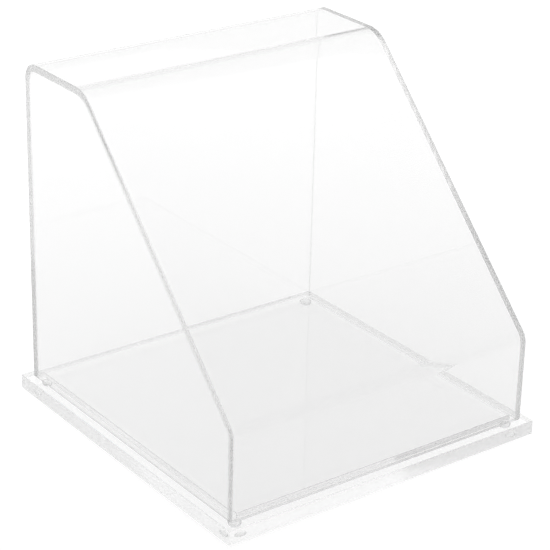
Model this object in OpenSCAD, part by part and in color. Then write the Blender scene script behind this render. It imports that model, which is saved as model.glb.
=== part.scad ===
// Slant-front sneeze guard for a counter: a clear cover that lifts off its base.
// The cover is one sheet bent three times, closed at each end by a side panel.
// The origin is at the middle of the feet's underside, with the slanted front towards -Y.

/* [Cover] */
// Width of the cover from side to side
cover_w = 300; // [200:5:600]
// Depth of the cover from front to back
cover_d = 300; // [250:5:500]
// Height of the cover
cover_h = 290; // [220:5:500]
// Depth of the flat top, from the back wall to the upper front bend
top_d = 92; // [60:1:150]
// Height of the upright lip at the front
lip_h = 78; // [50:1:150]
// Thickness of the cover's bent sheet
sheet_t = 6; // [3:0.5:8]
// Thickness of the side panels
panel_t = 3; // [2:0.5:6]
// Inside radius of the bends above the lip and at the back
bend_r = 10; // [4:1:20]
// Inside radius of the softer bend between the slope and the flat top
top_bend_r = 26; // [10:1:40]

/* [Base] */
// Thickness of the base plate
base_t = 12.7; // [6:0.1:20]
// How far the base plate stands out past the cover on every side
base_margin = 8; // [4:0.5:30]
// Thickness of the plate that keeps the cover in its place
locator_t = 4.8; // [3:0.1:10]
// Play between the bent sheet's inner faces and the locating plate
locator_play = 1.5; // [0.5:0.1:3]

/* [Feet] */
// Diameter of a foot where it is stuck to the base plate
foot_d = 11; // [8:0.5:20]
// Height of a foot
foot_h = 3; // [2:0.5:6]
// Distance from the base plate's edges to the middle of a foot
foot_inset = 17; // [14:1:40]

/* [Hidden] */

$fn = 64;
// Most degrees between the points along a bend
bend_step = 5;
clear_acrylic = [0.88, 0.95, 0.96, 0.35];
clear_rubber = [0.85, 0.87, 0.86, 0.6];

// Film of cement between a side panel's edge and the bent sheet
cement_gap = 0.05;
// Air left under the cover's edge, since two hard sheets never touch all over
rest_gap = 0.1;

base_w = cover_w + 2 * base_margin;
base_d = cover_d + 2 * base_margin;
base_top = foot_h + base_t;
cover_z = base_top + rest_gap;
locator_inset = sheet_t + locator_play;

front_y = -cover_d / 2;
back_y = cover_d / 2;

// Sharp corners of the cover's outside seen from the end: Y, then height above its lower edge
corners = [
    [front_y, 0],
    [front_y, lip_h],
    [back_y - top_d, cover_h],
    [back_y, cover_h],
    [back_y, 0]
];
last_bend = len(corners) - 2;
top_bend = 2;

// Outward direction of the straight run that leaves corner i
function outward(i) =
    let (run = corners[i + 1] - corners[i])
    [-run[1], run[0]] / norm(run);

// Angle of that direction, anticlockwise from +Y as seen from +X
function outward_angle(i) = atan2(outward(i)[1], outward(i)[0]);

// Outside radius of the bend at corner i
function outer_r(i) = sheet_t + (i == top_bend ? top_bend_r : bend_r);

// Middle of the bend at corner i, which the outer and inner faces share
function bend_centre(i) =
    let (before = outward(i - 1), after = outward(i))
    corners[i] - outer_r(i) * (before + after) / (1 + before * after);

// Points along the bend at corner i, on the face that lies inset from the outside
function bend_points(i, inset) =
    let (
        start = outward_angle(i - 1),
        turn = outward_angle(i) - start,
        steps = ceil(abs(turn) / bend_step)
    )
    [
        for (k = [0:steps])
            let (a = start + turn * k / steps)
            bend_centre(i) + (outer_r(i) - inset) * [cos(a), sin(a)]
    ];

// The cover's end outline, from its front lower edge round to its back one, drawn in by inset
function outline(inset) = concat(
    [[front_y + inset, 0]],
    [for (i = [1:last_bend]) each bend_points(i, inset)],
    [[back_y - inset, 0]]
);

function backwards(points) = [for (i = [len(points) - 1:-1:0]) points[i]];

// Stands an end outline on the base plate and runs it along X from x
module stand_along_x(x, width, points) {
    translate([x, 0, cover_z])
        rotate([90, 0, 90])
            linear_extrude(width)
                polygon(points);
}

module wrap_sheet() {
    color(clear_acrylic)
        stand_along_x(-cover_w / 2, cover_w, concat(outline(0), backwards(outline(sheet_t))));
}

module side_panel(x) {
    color(clear_acrylic)
        stand_along_x(x, panel_t, outline(sheet_t + cement_gap));
}

module left_side_panel() {
    side_panel(-cover_w / 2);
}

module right_side_panel() {
    side_panel(cover_w / 2 - panel_t);
}

// A plate centred on the cover, with its underside at z
module plate(width, depth, thickness, z) {
    color(clear_acrylic)
        translate([-width / 2, -depth / 2, z])
            cube([width, depth, thickness]);
}

module base_plate() {
    plate(base_w, base_d, base_t, foot_h);
}

module locating_plate() {
    plate(cover_w - 2 * locator_inset, cover_d - 2 * locator_inset, locator_t, base_top);
}

// A stick-on foot: a button that narrows downwards to a rounded rim
module foot(side, end) {
    rim_r = foot_h * 0.3;
    tread_r = foot_d / 2 - foot_h * 0.25 - rim_r;
    color(clear_rubber)
        translate([side * (base_w / 2 - foot_inset), end * (base_d / 2 - foot_inset), 0])
            rotate_extrude()
                polygon(concat(
                    [[0, 0]],
                    [for (a = [0:15:75]) [tread_r + rim_r * sin(a), rim_r * (1 - cos(a))]],
                    [[foot_d / 2, foot_h], [0, foot_h]]
                ));
}

module foot_front_left() {
    foot(-1, -1);
}

module foot_front_right() {
    foot(1, -1);
}

module foot_back_left() {
    foot(-1, 1);
}

module foot_back_right() {
    foot(1, 1);
}

wrap_sheet();
left_side_panel();
right_side_panel();
base_plate();
locating_plate();
foot_front_left();
foot_front_right();
foot_back_left();
foot_back_right();
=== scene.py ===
"""A clear acrylic slant-front sneeze guard on its base plate, in a white studio."""
import math

import bmesh
import bpy
from mathutils import Matrix, Vector


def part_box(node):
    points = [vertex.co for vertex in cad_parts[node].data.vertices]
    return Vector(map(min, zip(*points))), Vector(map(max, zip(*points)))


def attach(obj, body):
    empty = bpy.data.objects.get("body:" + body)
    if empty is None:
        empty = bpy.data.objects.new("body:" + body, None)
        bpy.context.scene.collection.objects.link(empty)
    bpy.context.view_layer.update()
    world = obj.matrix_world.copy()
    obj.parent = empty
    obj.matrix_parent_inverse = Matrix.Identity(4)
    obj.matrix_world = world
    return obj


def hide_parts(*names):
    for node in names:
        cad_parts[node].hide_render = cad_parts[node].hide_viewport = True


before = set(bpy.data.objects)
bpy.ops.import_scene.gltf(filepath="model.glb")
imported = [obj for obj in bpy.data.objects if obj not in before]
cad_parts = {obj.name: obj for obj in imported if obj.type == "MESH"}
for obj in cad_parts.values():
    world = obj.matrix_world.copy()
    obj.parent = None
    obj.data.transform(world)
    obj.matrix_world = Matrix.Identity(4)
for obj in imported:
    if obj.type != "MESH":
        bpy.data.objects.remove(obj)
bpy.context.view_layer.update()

# Shape of the cover's end outline, which the node boxes don't give: the front lip's height,
# the flat top's depth, the sheet's thickness and the inside radii of its three bends
LIP_HEIGHT = 0.078
TOP_DEPTH = 0.092
SHEET = 0.006
BENDS_INSIDE = (0.010, 0.026, 0.010)
# Points along a bend, and the flat stretch on each side of it that keeps the shading true
BEND_STEP = math.radians(3)
BEND_RUN_IN = 0.0006
# A strip of the bent sheet narrower than this belongs to a bend
WIDEST_IN_BEND = 0.003
# Anything this close above the cover's lower edge belongs to that edge
LOWER_EDGE_BAND = 0.0006
# A face whose normal goes this far along an axis looks that way
FACES_ALONG = 0.9
# The small flat that polishing leaves along a cut edge
ARRIS = 0.0001
# How far two pieces sink into each other where cement or glue joins them
WELD = 0.00005
# Air between the base plate and the locating plate that lies on it
REST_GAP = 0.00003
# Edges that meet at more than this angle are eased, or stay sharp in the shading
EASED_ANGLE = math.radians(35)
SHARP_ANGLE = math.radians(15)

# How rough a face is, as a share of its material's cut roughness
POLISHED, BENT, CUT = 0.0, 0.4, 1.0

FEET = ("foot_front_left", "foot_front_right", "foot_back_left", "foot_back_right")
FOOT_SIDES = 48
FOOT_RIM_STEPS = 6
FOOT_BAND = 0.0004
FOOT_TAPER = 0.0022

# Camera: turned right of +Y, tipped down and rolled, in degrees
CAMERA_AT = (-0.9242, -1.2231, 0.8269)
CAMERA_TURN, CAMERA_TIP, CAMERA_ROLL = 37.04, 24.40, 1.41
CAMERA_LENS, CAMERA_SENSOR = 131.1, 36

# Light, as (place, level) stops. The floor glows more away from the front of the object: painted light,
# with painted shade under, in front of and just behind the object, and brighter further back.
FLOOR_SIZE = 60
FLOOR_GREY = 0.2
FLOOR_TOWARDS = (0.6, 0.8, 0)
FLOOR_PAINTED_LIGHT = [
    (-0.4, 0.83), (-0.25, 0.85), (0.17, 0.85), (0.3, 0.88),
    (0.44, 0.91), (0.52, 0.95), (0.65, 1.02), (1.0, 1.1),
]
# The sky's level by height, times a softer patch behind and to the left
SKY_GLOW = [
    (-1.0, 1.0), (0.3, 0.95), (0.42, 0.9), (0.55, 0.85),
    (0.68, 0.8), (0.76, 0.9), (0.82, 1.0), (1.0, 1.0),
]
SKY_PATCH_TOWARDS = (-0.6, 0.75, 0.3)
SKY_PATCH = [(0.7, 1.0), (0.95, 0.75), (1.0, 0.7)]
# Light passes through many faces on its way along a clear sheet
BOUNCES = 160
DIFFUSE_BOUNCES = 4

# Acrylic and clear rubber bend light alike
REFRACTION = 1.49
RUBBER_TINT = (0.95, 0.955, 0.955, 1)
RUBBER_ROUGHNESS = (0.12, 0.2)
RUBBER_CLOUD_SCALE = 400
RUBBER_GRAIN_SCALE = 2500
RUBBER_GRAIN_DEPTH, RUBBER_GRAIN_STRENGTH = 0.00002, 0.6
# Sanding streaks on cut edges: noise scale along X, Y and Z, and its swing in roughness
SANDING_STRETCH = (900, 900, 60)
SANDING_SWING = 0.15
SANDING_DEPTH, SANDING_STRENGTH = 0.00002, 0.08
# The slow waves in a cast sheet's faces
WAVE_SCALE, WAVE_DETAIL = 9, 1
WAVE_DEPTH, WAVE_STRENGTH = 0.0004, 0.3
# Hairline scratches: where they gather, how fine they are, and how rough
SCRATCH_PATCH_SCALE = 22
SCRATCH_PATCH_STOPS = (0.5, 0.66)
SCRATCH_BANDS = (("DIAGONAL", 38), ("Z", 31))
SCRATCH_DISTORTION, SCRATCH_DETAIL, SCRATCH_DETAIL_SCALE = 14, 2, 0.6
SCRATCH_CREST = 0.997
SCRATCH_ROUGHNESS = 0.12
# Noise values from which a remapped pattern starts and ends
NOISE_SPAN = (0.3, 0.7)


# ---------------------------------------------------------------- shader helpers

def new_material(name):
    material = bpy.data.materials.new(name)
    material.use_nodes = True
    return material, material.node_tree, material.node_tree.nodes["Principled BSDF"]


def plug(tree, source, target):
    """Links a socket, or sets a plain value."""
    if isinstance(source, bpy.types.NodeSocket):
        tree.links.new(source, target)
    else:
        target.default_value = source


def math_node(tree, operation, a, b):
    node = tree.nodes.new("ShaderNodeMath")
    node.operation = operation
    plug(tree, a, node.inputs[0])
    plug(tree, b, node.inputs[1])
    return node.outputs["Value"]


def remap(tree, value, from_low, from_high, to_low=0.0, to_high=1.0):
    node = tree.nodes.new("ShaderNodeMapRange")
    node.inputs["From Min"].default_value = from_low
    node.inputs["From Max"].default_value = from_high
    plug(tree, to_low, node.inputs["To Min"])
    plug(tree, to_high, node.inputs["To Max"])
    plug(tree, value, node.inputs["Value"])
    return node.outputs["Result"]


def object_place(tree, stretch=(1, 1, 1)):
    place = tree.nodes.new("ShaderNodeTexCoord").outputs["Object"]
    node = tree.nodes.new("ShaderNodeVectorMath")
    node.operation = "MULTIPLY"
    node.inputs[1].default_value = stretch
    tree.links.new(place, node.inputs[0])
    return node.outputs["Vector"]


def noise(tree, place, scale, detail=2.0):
    node = tree.nodes.new("ShaderNodeTexNoise")
    node.inputs["Scale"].default_value = scale
    node.inputs["Detail"].default_value = detail
    tree.links.new(place, node.inputs["Vector"])
    return node.outputs["Fac"]


def face_mark(tree, name):
    """A per-face value that piece_from stored on the mesh."""
    node = tree.nodes.new("ShaderNodeAttribute")
    node.attribute_name = name
    return node.outputs["Fac"]


def bump(tree, height, distance, strength, normal=None):
    node = tree.nodes.new("ShaderNodeBump")
    node.inputs["Distance"].default_value = distance
    node.inputs["Strength"].default_value = strength
    plug(tree, height, node.inputs["Height"])
    if normal is not None:
        tree.links.new(normal, node.inputs["Normal"])
    return node.outputs["Normal"]


def scratches(tree):
    """Hairlines in two directions, in patches, from 0 to 1."""
    patches = remap(tree, noise(tree, object_place(tree), SCRATCH_PATCH_SCALE), *SCRATCH_PATCH_STOPS)
    lines = 0.0
    for direction, scale in SCRATCH_BANDS:
        wave = tree.nodes.new("ShaderNodeTexWave")
        wave.bands_direction = direction
        wave.inputs["Scale"].default_value = scale
        wave.inputs["Distortion"].default_value = SCRATCH_DISTORTION
        wave.inputs["Detail"].default_value = SCRATCH_DETAIL
        wave.inputs["Detail Scale"].default_value = SCRATCH_DETAIL_SCALE
        tree.links.new(object_place(tree), wave.inputs["Vector"])
        crests = remap(tree, wave.outputs["Fac"], SCRATCH_CREST, 1.0)
        lines = math_node(tree, "MAXIMUM", crests, lines)
    return math_node(tree, "MULTIPLY", lines, patches)


# ---------------------------------------------------------------- materials

def clear_acrylic(name, tint, cut_tint, cut_roughness, absorption):
    """Cast acrylic sheet: faintly wavy faces with hairline scratches, and sanded edges."""
    material, tree, shader = new_material(name)
    shader.inputs["Transmission Weight"].default_value = 1
    shader.inputs["IOR"].default_value = REFRACTION

    # A joined face has no surface of its own, so it takes no tint
    cut = face_mark(tree, "cut")
    shade = remap(tree, cut, BENT, CUT, tint, cut_tint)
    colour = remap(tree, face_mark(tree, "joined"), 0, 1, shade, 1)
    tree.links.new(colour, shader.inputs["Base Color"])

    sanding = noise(tree, object_place(tree, SANDING_STRETCH), 1)
    smoother, rougher = (1 - SANDING_SWING) * cut_roughness, (1 + SANDING_SWING) * cut_roughness
    sanded = remap(tree, sanding, *NOISE_SPAN, smoother, rougher)
    cut_rough = math_node(tree, "MULTIPLY", cut, sanded)
    hairlines = math_node(tree, "MULTIPLY", scratches(tree), SCRATCH_ROUGHNESS)
    tree.links.new(math_node(tree, "MAXIMUM", cut_rough, hairlines), shader.inputs["Roughness"])

    wave_height = noise(tree, object_place(tree), WAVE_SCALE, WAVE_DETAIL)
    waves = bump(tree, wave_height, WAVE_DEPTH, WAVE_STRENGTH)
    sanding_height = math_node(tree, "MULTIPLY", sanding, cut)
    marks = bump(tree, sanding_height, SANDING_DEPTH, SANDING_STRENGTH, waves)
    tree.links.new(marks, shader.inputs["Normal"])

    volume = tree.nodes.new("ShaderNodeVolumeAbsorption")
    volume.inputs["Color"].default_value = (0, 0, 0, 1)
    volume.inputs["Density"].default_value = absorption
    tree.links.new(volume.outputs["Volume"], tree.nodes["Material Output"].inputs["Volume"])
    return material


def clear_rubber():
    """Soft clear rubber: a cloudy body and a fine moulded grain."""
    material, tree, shader = new_material("foot_rubber")
    shader.inputs["Base Color"].default_value = RUBBER_TINT
    shader.inputs["Transmission Weight"].default_value = 1
    shader.inputs["IOR"].default_value = REFRACTION
    cloud = noise(tree, object_place(tree), RUBBER_CLOUD_SCALE)
    tree.links.new(remap(tree, cloud, *NOISE_SPAN, *RUBBER_ROUGHNESS), shader.inputs["Roughness"])
    pattern = noise(tree, object_place(tree), RUBBER_GRAIN_SCALE)
    grain = bump(tree, pattern, RUBBER_GRAIN_DEPTH, RUBBER_GRAIN_STRENGTH)
    tree.links.new(grain, shader.inputs["Normal"])
    return material


# ---------------------------------------------------------------- mesh helpers

def piece_from(name, bm, body, node, material, finish, is_joined=None, is_eased=None):
    """Eases a mesh's edges, marks its faces and sets it in the scene as the piece for a node, under its
    body, with the node hidden.
    """
    bmesh.ops.recalc_face_normals(bm, faces=bm.faces)
    bm.normal_update()
    cut = bm.faces.layers.float.new("cut")
    joined = bm.faces.layers.float.new("joined")
    for face in bm.faces:
        face[cut] = finish(face)
        face[joined] = 1.0 if is_joined and is_joined(face) else 0.0
    eased = [
        edge for edge in bm.edges
        if edge.calc_face_angle() > EASED_ANGLE and (is_eased is None or is_eased(edge))
    ]
    bmesh.ops.bevel(
        bm, geom=eased, offset=ARRIS, segments=1, profile=0.5, affect="EDGES", clamp_overlap=True
    )
    mesh = bpy.data.meshes.new(name)
    bm.to_mesh(mesh)
    bm.free()
    mesh.shade_smooth()
    mesh.set_sharp_from_angle(angle=SHARP_ANGLE)
    mesh.materials.append(material)
    piece = bpy.data.objects.new(name, mesh)
    bpy.context.scene.collection.objects.link(piece)
    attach(piece, body)
    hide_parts(node)
    return piece


def run_along_x(points, low_x, high_x):
    """A closed solid from an outline of (y, z) points."""
    bm = bmesh.new()
    near, far = ([bm.verts.new((x, y, z)) for y, z in points] for x in (low_x, high_x))
    for i in range(len(points)):
        j = (i + 1) % len(points)
        bm.faces.new((near[i], near[j], far[j], far[i]))
    bm.faces.new(near)
    bm.faces.new(far[::-1])
    return bm


def bent_strip(outer, inner, stations):
    """A sheet between two open outlines with the same number of points, run along the stations in X."""
    bm = bmesh.new()
    rows = [[[bm.verts.new((x, y, z)) for y, z in side] for side in (outer, inner)] for x in stations]
    last = len(outer) - 1
    for row, following in zip(rows, rows[1:]):
        for side in (0, 1):
            for i in range(last):
                bm.faces.new((row[side][i], row[side][i + 1], following[side][i + 1], following[side][i]))
        for i in (0, last):
            bm.faces.new((row[0][i], following[0][i], following[1][i], row[1][i]))
    for row in (rows[0], rows[-1]):
        for i in range(last):
            bm.faces.new((row[0][i], row[0][i + 1], row[1][i + 1], row[1][i]))
    return bm


def turned(profile, centre):
    """A closed solid turned about the vertical through centre, from (radius, z) points, top to bottom."""
    bm = bmesh.new()
    rings = []
    for radius, z in profile:
        angles = [math.tau * i / FOOT_SIDES for i in range(FOOT_SIDES)]
        rings.append([
            bm.verts.new((centre.x + radius * math.cos(a), centre.y + radius * math.sin(a), z))
            for a in angles
        ])
    for upper, lower in zip(rings, rings[1:]):
        for i in range(FOOT_SIDES):
            j = (i + 1) % FOOT_SIDES
            bm.faces.new((upper[i], upper[j], lower[j], lower[i]))
    bm.faces.new(rings[0])
    bm.faces.new(rings[-1][::-1])
    return bm


def block(low, high):
    bm = bmesh.new()
    bmesh.ops.create_cube(bm, size=1)
    place = Matrix.Translation((low + high) / 2) @ Matrix.Diagonal((*(high - low), 1))
    bmesh.ops.transform(bm, matrix=place, verts=bm.verts)
    return bm


# ---------------------------------------------------------------- the cover's outline

def cover_corners():
    """The outside's sharp corners as (y, z), from the front lower edge round to the back one."""
    low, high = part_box("wrap_sheet")
    return [
        Vector((low.y, low.z)),
        Vector((low.y, low.z + LIP_HEIGHT)),
        Vector((high.y - TOP_DEPTH, high.z)),
        Vector((high.y, high.z)),
        Vector((high.y, low.z)),
    ]


def bend(corner, before, after, bend_inside, inset):
    """Points round a bend between the outward directions before and after it."""
    outer_radius = SHEET + bend_inside
    centre = corner - outer_radius * (before + after) / (1 + before.dot(after))
    start = math.atan2(before.y, before.x)
    turn = math.atan2(after.y, after.x) - start
    steps = math.ceil(abs(turn) / BEND_STEP)
    arc = []
    for k in range(steps + 1):
        angle = start + turn * k / steps
        arc.append(centre + (outer_radius - inset) * Vector((math.cos(angle), math.sin(angle))))
    into = Vector((before.y, -before.x))
    out = Vector((after.y, -after.x))
    return [arc[0] - BEND_RUN_IN * into, *arc, arc[-1] + BEND_RUN_IN * out]


def cover_outline(inset):
    """The cover's end outline drawn in by inset, with its bends about shared centres."""
    corners = cover_corners()
    runs = [(b - a).normalized() for a, b in zip(corners, corners[1:])]
    outward = [Vector((-run.y, run.x)) for run in runs]
    points = [corners[0] - inset * outward[0]]
    for i, bend_inside in enumerate(BENDS_INSIDE):
        points += bend(corners[i + 1], outward[i], outward[i + 1], bend_inside, inset)
    points.append(corners[-1] - inset * outward[-1])
    return [tuple(point) for point in points]


# ---------------------------------------------------------------- pieces

def to_micrometre(y, z):
    return round(y, 6), round(z, 6)


def make_wrap_sheet(material):
    low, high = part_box("wrap_sheet")
    seams = (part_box("left_side_panel")[1].x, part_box("right_side_panel")[0].x)
    outer, inner = cover_outline(0), cover_outline(SHEET)
    outside = {to_micrometre(y, z) for y, z in outer}
    inside = {to_micrometre(y, z) for y, z in inner}
    foot = low.z + LOWER_EDGE_BAND

    def lies_on(vert, outline):
        return to_micrometre(vert.co.y, vert.co.z) in outline

    def finish(face):
        if abs(face.normal.x) > FACES_ALONG or face.calc_center_median().z < foot:
            return CUT
        across = max(
            (Vector(a.co.yz) - Vector(b.co.yz)).length for a, b in zip(face.verts, face.verts[1:])
        )
        return BENT if across < WIDEST_IN_BEND else POLISHED

    def is_joined(face):
        at = face.calc_center_median().x
        return not seams[0] < at < seams[1] and all(lies_on(vert, inside) for vert in face.verts)

    def is_eased(edge):
        at_foot = all(vert.co.z < foot for vert in edge.verts)
        return at_foot or all(lies_on(vert, outside) for vert in edge.verts)

    strip = bent_strip(outer, inner, (low.x, *seams, high.x))
    piece_from("wrap_sheet_piece", strip, "cover", "wrap_sheet", material,
               finish, is_joined, is_eased)


def make_side_panel(side, material):
    node = f"{side}_side_panel"
    low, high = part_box(node)
    foot = low.z + LOWER_EDGE_BAND

    def finish(face):
        return CUT if face.normal.z < -FACES_ALONG else POLISHED

    def is_joined(face):
        return abs(face.normal.x) < FACES_ALONG and face.normal.z > -FACES_ALONG

    def is_eased(edge):
        return all(vert.co.z < foot for vert in edge.verts)

    panel = run_along_x(cover_outline(SHEET - WELD), low.x, high.x)
    piece_from(f"{node}_piece", panel, "cover", node, material,
               finish, is_joined, is_eased)


def make_plate(node, material, lift=0.0):
    low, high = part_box(node)

    def finish(face):
        return POLISHED if abs(face.normal.z) > FACES_ALONG else CUT

    plate = block(low + Vector((0, 0, lift)), high)
    piece_from(f"{node}_piece", plate, "base", node, material, finish)


def make_foot(node, material):
    low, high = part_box(node)
    radius = (high.x - low.x) / 2
    band_z = high.z - FOOT_BAND
    profile = [(radius, high.z + WELD), (radius, band_z)]
    for k in range(1, FOOT_RIM_STEPS + 1):
        angle = math.radians(90) * k / FOOT_RIM_STEPS
        profile.append((
            radius - FOOT_TAPER * (1 - math.cos(angle)),
            band_z - (band_z - low.z) * math.sin(angle),
        ))
    button = turned(profile, (low + high) / 2)
    piece_from(f"{node}_piece", button, "base", node, material,
               lambda face: POLISHED, is_eased=lambda edge: False)


# ---------------------------------------------------------------- studio

def along(tree, vector, direction):
    node = tree.nodes.new("ShaderNodeVectorMath")
    node.operation = "DOT_PRODUCT"
    node.inputs[1].default_value = Vector(direction).normalized()
    tree.links.new(vector, node.inputs[0])
    return node.outputs["Value"]


def ramp(tree, value, stops):
    """The level at value, from (value, level) stops."""
    low, high = stops[0][0], stops[-1][0]
    node = tree.nodes.new("ShaderNodeValToRGB")
    tree.links.new(remap(tree, value, low, high), node.inputs["Fac"])
    elements = node.color_ramp.elements
    elements.remove(elements[-1])
    for i, (at, level) in enumerate(stops):
        element = elements[0] if i == 0 else elements.new(0)
        element.position = (at - low) / (high - low)
        element.color = (level, level, level, 1)
    return node.outputs["Color"]


def make_floor():
    material, tree, shader = new_material("floor")
    shader.inputs["Base Color"].default_value = (FLOOR_GREY, FLOOR_GREY, FLOOR_GREY, 1)
    shader.inputs["Roughness"].default_value = 1
    shader.inputs["Specular IOR Level"].default_value = 0
    shader.inputs["Emission Strength"].default_value = 1
    # The floor's emission is painted light: painted shade near, under and just behind the object,
    # brighter further back
    painted_light = ramp(tree, along(tree, object_place(tree), FLOOR_TOWARDS), FLOOR_PAINTED_LIGHT)
    tree.links.new(painted_light, shader.inputs["Emission Color"])
    bpy.ops.mesh.primitive_plane_add(size=FLOOR_SIZE)
    floor = bpy.context.object
    floor.name = "floor"
    floor.location.z = -WELD
    floor.data.materials.append(material)


def make_world():
    world = bpy.data.worlds.new("studio")
    bpy.context.scene.world = world
    world.use_nodes = True
    tree = world.node_tree
    towards = tree.nodes.new("ShaderNodeTexCoord").outputs["Generated"]
    level = tree.nodes.new("ShaderNodeVectorMath")
    level.operation = "MULTIPLY"
    tree.links.new(ramp(tree, along(tree, towards, (0, 0, 1)), SKY_GLOW), level.inputs[0])
    tree.links.new(ramp(tree, along(tree, towards, SKY_PATCH_TOWARDS), SKY_PATCH), level.inputs[1])
    tree.links.new(level.outputs["Vector"], tree.nodes["Background"].inputs["Color"])


def make_camera():
    data = bpy.data.cameras.new("camera")
    data.lens = CAMERA_LENS
    data.sensor_width = CAMERA_SENSOR
    camera = bpy.data.objects.new("camera", data)
    camera.matrix_world = (
        Matrix.Translation(CAMERA_AT)
        @ Matrix.Rotation(-math.radians(CAMERA_TURN), 4, "Z")
        @ Matrix.Rotation(math.radians(90 - CAMERA_TIP), 4, "X")
        @ Matrix.Rotation(math.radians(CAMERA_ROLL), 4, "Z")
    )
    bpy.context.scene.collection.objects.link(camera)
    bpy.context.scene.camera = camera


def set_light_paths():
    scene = bpy.context.scene
    scene.view_settings.view_transform = "Standard"
    scene.cycles.max_bounces = BOUNCES
    scene.cycles.transmission_bounces = BOUNCES
    scene.cycles.glossy_bounces = BOUNCES
    scene.cycles.transparent_max_bounces = BOUNCES
    scene.cycles.diffuse_bounces = DIFFUSE_BOUNCES


make_camera()
cover_acrylic = clear_acrylic(
    "cover_acrylic", tint=0.91, cut_tint=0.75, cut_roughness=0.25, absorption=0.12
)
make_wrap_sheet(cover_acrylic)
make_side_panel("left", cover_acrylic)
make_side_panel("right", cover_acrylic)
base_acrylic = clear_acrylic(
    "base_acrylic", tint=0.99, cut_tint=0.96, cut_roughness=0.2, absorption=0.08
)
make_plate("base_plate", base_acrylic)
locating_acrylic = clear_acrylic(
    "locating_acrylic", tint=0.99, cut_tint=1.0, cut_roughness=0.08, absorption=0.02
)
make_plate("locating_plate", locating_acrylic, REST_GAP)
foot_rubber = clear_rubber()
for foot_node in FEET:
    make_foot(foot_node, foot_rubber)
make_floor()
make_world()
set_light_paths()
